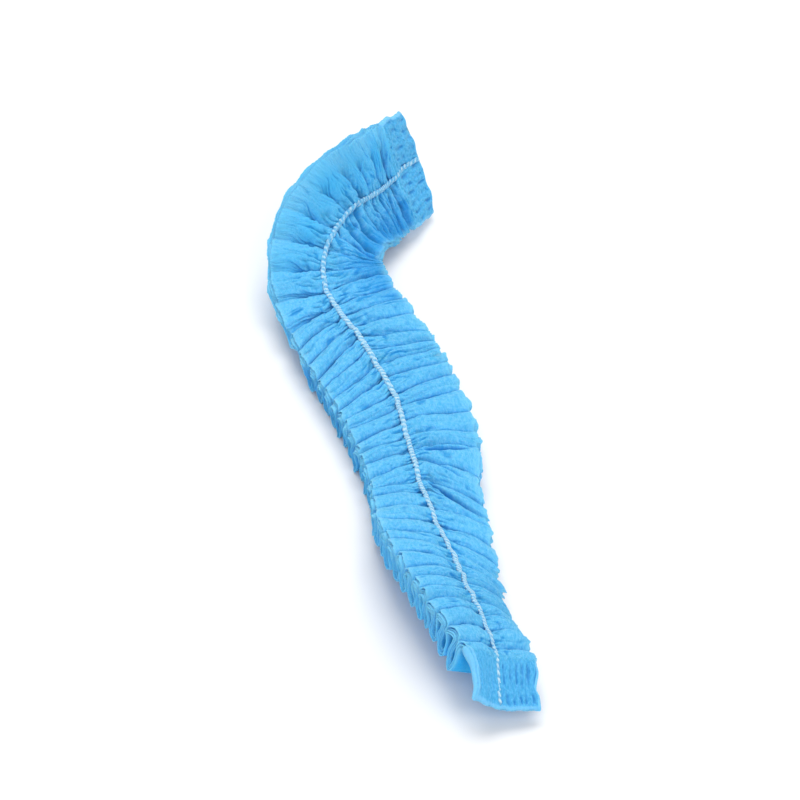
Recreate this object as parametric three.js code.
// A disposable shower cap of thin non-woven cloth, folded into a strip.
// The web is folded lengthwise into a flat stack of plies. The stack is crimped crosswise into
// upright S-shaped pleats, and pressed and welded into a flat tab at each end. One elastic runs
// along the middle of the upper face and out onto both tabs.
//
// Millimetres, +Z up. The strip lies on the plane z = 0. It runs from its far, bent end at +Y to
// its near end at -Y. Places on it are given as (along, share, height): along the centre line from
// the far end, the share of the half width from the middle towards the left edge (-1 is the right
// edge), and height above the strip's own underside.

import * as THREE from "three";
import { mergeVertices } from "three/addons/utils/BufferGeometryUtils.js";

// Driving dimensions.
const STRIP_LENGTH = 240;
const SEAL_LENGTH = 11;
const PLEAT_COUNT = 36;
const WEB_THICKNESS = 1.6; // the whole stack of plies
const PLEAT_SWING = 107; // degrees that the web turns to either side of the strip's direction
const VALLEY_DEPTH = 1.2; // the elastic pulls the middle of the face in by this much
const SEAL_THICKNESS = 1.4;
const SEAL_DROP = 4.5; // a tab leaves the last crest and comes down by this much
const ELASTIC_DIAMETER = 1.6;
const ELASTIC_INSET = 0.5; // it stops this far short of the tabs' ends
const GAP = 0.3; // between pieces that touch

// How fine the faceted solids are.
const STEPS_PER_PLEAT = 16;
const ROUTE_STEPS = 480;
const STEPS_PER_SEAL = 4;
const ELASTIC_SIDES = 8;
const ELASTIC_STEPS = 78;

// The route on the floor: it starts at this heading, and each stretch turns it smoothly.
// Headings are in degrees from straight towards the near end, positive to the right.
const START_HEADING = -56;
const BENDS = [
  { from: 0, to: 68, turn: 78 },
  { from: 98, to: 176, turn: -25 },
  { from: 175, to: 222, turn: 35 },
  { from: 214, to: 240, turn: -19 },
];

// How far the section is rolled to the right, with its left edge up, in degrees. The strip stands
// almost on its right edge in the hook, and lies flat from 118 to 150.
const ROLLS = [
  { along: 26, value: 60 },
  { along: 72, value: 0 },
  { along: 92, value: -7 },
  { along: 118, value: 0 },
  { along: 150, value: 0 },
  { along: 205, value: 35 },
  { along: 240, value: 22 },
];

// How far the section arches: its right edge is this much steeper than its middle, in degrees, and
// its left edge this much flatter.
const CURLS = [
  { along: 150, value: 0 },
  { along: 205, value: 35 },
  { along: 240, value: -17 },
];

// The width of the underside. Where the section arches, the face above it is wider.
const WIDTHS = [
  { along: 0, value: 28 },
  { along: 34, value: 31.5 },
  { along: 120, value: 32.5 },
  { along: 165, value: 26.5 },
  { along: 215, value: 19.5 },
  { along: 240, value: 24 },
];

// The bend pulls the pleats open along its outer, left edge, where they lose this share of their
// depth and stay up at the level of the crests.
const FANNED = [
  { along: 0, value: 0.1 },
  { along: 34, value: 0.55 },
  { along: 62, value: 0.4 },
  { along: 92, value: 0 },
];

const UP = new THREE.Vector3(0, 0, 1);

const { clamp, degToRad, lerp, smoothstep } = THREE.MathUtils;

// A table of values along the strip, eased from row to row.
function readTable(table, along) {
  let value = table[0].value;
  for (let row = 1; row < table.length; row++) {
    const step = table[row].value - table[row - 1].value;
    value += step * smoothstep(along, table[row - 1].along, table[row].along);
  }
  return value;
}

function headingAt(along) {
  let heading = START_HEADING;
  for (const bend of BENDS) {
    heading += bend.turn * smoothstep(along, bend.from, bend.to);
  }
  return degToRad(heading);
}

function directionAt(along) {
  const heading = headingAt(along);
  return new THREE.Vector3(Math.sin(heading), -Math.cos(heading), 0);
}

// The centre line on the floor, summed from the heading in short steps.
function layRoute() {
  const points = [new THREE.Vector3()];
  const step = STRIP_LENGTH / ROUTE_STEPS;
  for (let i = 0; i < ROUTE_STEPS; i++) {
    const direction = directionAt((i + 0.5) * step);
    points.push(points[i].clone().addScaledVector(direction, step));
  }
  return points;
}

const route = layRoute();

function routeAt(along) {
  const place = clamp((along / STRIP_LENGTH) * ROUTE_STEPS, 0, ROUTE_STEPS);
  const index = Math.min(Math.floor(place), ROUTE_STEPS - 1);
  return route[index].clone().lerp(route[index + 1], place - index);
}

function widthAt(along) {
  return readTable(WIDTHS, along);
}

// The chord of an arc of the given length that turns by twice `halfTurn`.
function chordOf(length, halfTurn) {
  return halfTurn === 0 ? length : (length * Math.sin(halfTurn)) / halfTurn;
}

// A place on the strip in space. The underside's section is an arc that starts on its right edge,
// with the slope of the roll plus the curl, and ends with their difference. The lower one of its
// two edges stays on the floor.
function stripPoint(along, share, height) {
  const roll = degToRad(readTable(ROLLS, along));
  const curl = degToRad(readTable(CURLS, along));
  const width = widthAt(along);
  const fromRightEdge = (1 + share) / 2;
  const chord = chordOf(width * fromRightEdge, curl * fromRightEdge);
  const chordSlope = roll + curl * (1 - fromRightEdge);
  const slope = roll - curl * share;
  const outwards = chord * Math.cos(chordSlope) - height * Math.sin(slope);
  const upwards = chord * Math.sin(chordSlope) + height * Math.cos(slope);
  const lift = Math.max(0, -chordOf(width, curl) * Math.sin(roll));
  const towardsLeft = directionAt(along).cross(UP);
  return routeAt(along)
    .addScaledVector(towardsLeft, outwards - width / 2)
    .addScaledVector(UP, upwards + lift);
}

// The middle of the folded web seen from the side, as one sine-generated curve: its direction
// swings as a sine of the distance along it, which bends it evenly into full, slightly overhanging
// S shapes. It starts and ends halfway over a crest. Each crest and trough has one level step, so
// the troughs stand on the floor with a flat underside.
function foldWeb() {
  const steps = PLEAT_COUNT * STEPS_PER_PLEAT;
  const line = [{ along: 0, height: 0 }];
  for (let i = 0; i <= steps; i++) {
    const phase = (2 * Math.PI * i) / STEPS_PER_PLEAT;
    const direction = -degToRad(PLEAT_SWING) * Math.sin(phase);
    const length = i === 0 || i === steps ? 0.5 : 1;
    line.push({
      along: line[i].along + Math.cos(direction) * length,
      height: line[i].height + Math.sin(direction) * length,
    });
  }
  const scale = (webEnd - webStart) / line[steps + 1].along;
  const lowest = Math.min(...line.map((point) => point.height));
  return line.map((point) => ({
    along: webStart + point.along * scale,
    height: WEB_THICKNESS / 2 + (point.height - lowest) * scale,
  }));
}

const webStart = SEAL_LENGTH;
const webEnd = STRIP_LENGTH - SEAL_LENGTH;
const web = foldWeb();
const crestHeight = Math.max(...web.map((point) => point.height));

// The valley under the elastic lowers the upper half of each pleat in the middle of the strip.
function valleyAt(height, share) {
  const raised = height / (crestHeight + WEB_THICKNESS / 2);
  return VALLEY_DEPTH * (1 - Math.abs(share)) * raised;
}

// The folded web at one share of the half width, with the valley and the opened pleats. Each
// point also gets the direction of the web there, and how far a mitred wall reaches round it.
function foldAtShare(share) {
  const line = web.map(({ along, height }, i) => {
    const straight = lerp(webStart, webEnd, i / (web.length - 1));
    const opened = readTable(FANNED, along) * Math.max(share, 0);
    return {
      along: lerp(along, straight, opened),
      height: lerp(height, crestHeight, opened),
    };
  });
  const stepDirection = (i) => {
    if (i < 0 || i >= line.length - 1) {
      return 0;
    }
    return Math.atan2(line[i + 1].height - line[i].height, line[i + 1].along - line[i].along);
  };
  return line.map((point, i) => {
    const before = stepDirection(i - 1);
    const after = stepDirection(i);
    return {
      ...point,
      direction: (before + after) / 2,
      reach: WEB_THICKNESS / 2 / Math.cos((after - before) / 2),
    };
  });
}

// A closed slab from a grid: `place(i, j, side)` gives its points, with side 0 below and 1 above.
function makeSlab(stepsAlong, stepsAcross, place) {
  const positions = [];
  const triangles = [];
  const rowLength = stepsAcross + 1;
  const index = (i, j, side) => (i * rowLength + j) * 2 + side;
  for (let i = 0; i <= stepsAlong; i++) {
    for (let j = 0; j <= stepsAcross; j++) {
      for (const side of [0, 1]) {
        positions.push(...place(i, j, side).toArray());
      }
    }
  }
  const addQuad = (a, b, c, d) => triangles.push(a, b, c, a, c, d);
  for (let i = 0; i < stepsAlong; i++) {
    for (let j = 0; j < stepsAcross; j++) {
      addQuad(index(i, j, 1), index(i, j + 1, 1), index(i + 1, j + 1, 1), index(i + 1, j, 1));
      addQuad(index(i, j, 0), index(i + 1, j, 0), index(i + 1, j + 1, 0), index(i, j + 1, 0));
    }
    const last = stepsAcross;
    addQuad(index(i, 0, 0), index(i, 0, 1), index(i + 1, 0, 1), index(i + 1, 0, 0));
    addQuad(index(i, last, 0), index(i + 1, last, 0), index(i + 1, last, 1), index(i, last, 1));
  }
  for (let j = 0; j < stepsAcross; j++) {
    const end = stepsAlong;
    addQuad(index(0, j, 0), index(0, j + 1, 0), index(0, j + 1, 1), index(0, j, 1));
    addQuad(index(end, j, 0), index(end, j, 1), index(end, j + 1, 1), index(end, j + 1, 0));
  }
  const geometry = new THREE.BufferGeometry();
  geometry.setAttribute("position", new THREE.Float32BufferAttribute(positions, 3));
  geometry.setIndex(triangles);
  return geometry;
}

// Positions across the strip, as shares of its half width: the right edge, the middle, the left.
const ACROSS = [-1, 0, 1];

function makePleatedWeb() {
  const folds = ACROSS.map(foldAtShare);
  return makeSlab(web.length - 1, ACROSS.length - 1, (i, j, side) => {
    const { along, height, direction, reach } = folds[j][i];
    const offset = (2 * side - 1) * reach;
    const placeAlong = along - Math.sin(direction) * offset;
    const placeHeight = height + Math.cos(direction) * offset;
    const lowered = Math.max(placeHeight - valleyAt(placeHeight, ACROSS[j]), 0);
    return stripPoint(placeAlong, ACROSS[j], lowered);
  });
}

// The height of the middle of a tab, `away` millimetres from the last crest: it leaves the crest
// level and slopes down ever more steeply.
function sealHeight(away) {
  return crestHeight - SEAL_DROP * (away / SEAL_LENGTH) ** 1.5;
}

// A tab that reaches in `direction` (+1 or -1) along the strip from the end of the pleats.
function makeEndSeal(pleatsEnd, direction) {
  const step = (SEAL_LENGTH - GAP) / STEPS_PER_SEAL;
  return makeSlab(STEPS_PER_SEAL, ACROSS.length - 1, (i, j, side) => {
    const away = GAP + step * (direction > 0 ? i : STEPS_PER_SEAL - i);
    const valley = valleyAt(crestHeight, ACROSS[j]);
    const height = sealHeight(away) + (side - 0.5) * SEAL_THICKNESS - valley;
    return stripPoint(pleatsEnd + direction * away, ACROSS[j], height);
  });
}

function polygon(sides, radius) {
  const corners = Array.from({ length: sides }, (_, side) => {
    const angle = (2 * Math.PI * (side + 0.5)) / sides;
    return new THREE.Vector2(Math.cos(angle) * radius, Math.sin(angle) * radius);
  });
  return new THREE.Shape(corners);
}

// The elastic passes over the crests in the valley and follows both tabs to their ends.
function makeElastic() {
  const rise = WEB_THICKNESS / 2 + GAP + ELASTIC_DIAMETER / 2 - valleyAt(crestHeight, 0);
  const alongTab = [SEAL_LENGTH - ELASTIC_INSET, SEAL_LENGTH * 0.6, SEAL_LENGTH * 0.25];
  const overTab = (pleatsEnd, direction) =>
    alongTab.map((away) => {
      return stripPoint(pleatsEnd + direction * away, 0, sealHeight(away) + rise);
    });
  const pitch = (webEnd - webStart) / PLEAT_COUNT;
  const overCrests = Array.from({ length: PLEAT_COUNT + 1 }, (_, crest) => {
    return stripPoint(webStart + crest * pitch, 0, crestHeight + rise);
  });
  const points = [
    ...overTab(webStart, -1),
    ...overCrests,
    ...overTab(webEnd, 1).toReversed(),
  ];
  return new THREE.ExtrudeGeometry(polygon(ELASTIC_SIDES, ELASTIC_DIAMETER / 2), {
    steps: ELASTIC_STEPS,
    curveSegments: 1,
    extrudePath: new THREE.CatmullRomCurve3(points, false, "centripetal"),
  });
}

// Only positions are kept, so that shared corners merge into one closed surface.
function closeSurface(geometry) {
  const bare = new THREE.BufferGeometry();
  bare.setAttribute("position", geometry.getAttribute("position"));
  if (geometry.index) {
    bare.setIndex(geometry.index);
  }
  const merged = mergeVertices(bare, 1e-3);
  merged.computeVertexNormals();
  return merged;
}

function addPiece(group, name, geometry, material) {
  const piece = new THREE.Mesh(closeSurface(geometry), material);
  piece.name = name;
  group.add(piece);
}

const nonWoven = new THREE.MeshStandardMaterial({
  color: "#6dbdf4",
  roughness: 0.85,
  metalness: 0,
  side: THREE.DoubleSide,
});
const weldedWeb = new THREE.MeshStandardMaterial({
  color: "#5bb0ee",
  roughness: 0.6,
  metalness: 0,
});
const elasticYarn = new THREE.MeshStandardMaterial({
  color: "#e9f3fa",
  roughness: 0.75,
  metalness: 0,
});

const cap = new THREE.Group();
cap.name = "folded_shower_cap";
addPiece(cap, "pleated_web", makePleatedWeb(), nonWoven);
addPiece(cap, "end_seal_far", makeEndSeal(webStart, -1), weldedWeb);
addPiece(cap, "end_seal_near", makeEndSeal(webEnd, 1), weldedWeb);
addPiece(cap, "elastic_band", makeElastic(), elasticYarn);

// The origin is the middle of the outline on the floor.
const outline = new THREE.Box3().setFromObject(cap);
const middle = outline.getCenter(new THREE.Vector3());
cap.position.set(-middle.x, -middle.y, -outline.min.z);

export default cap;
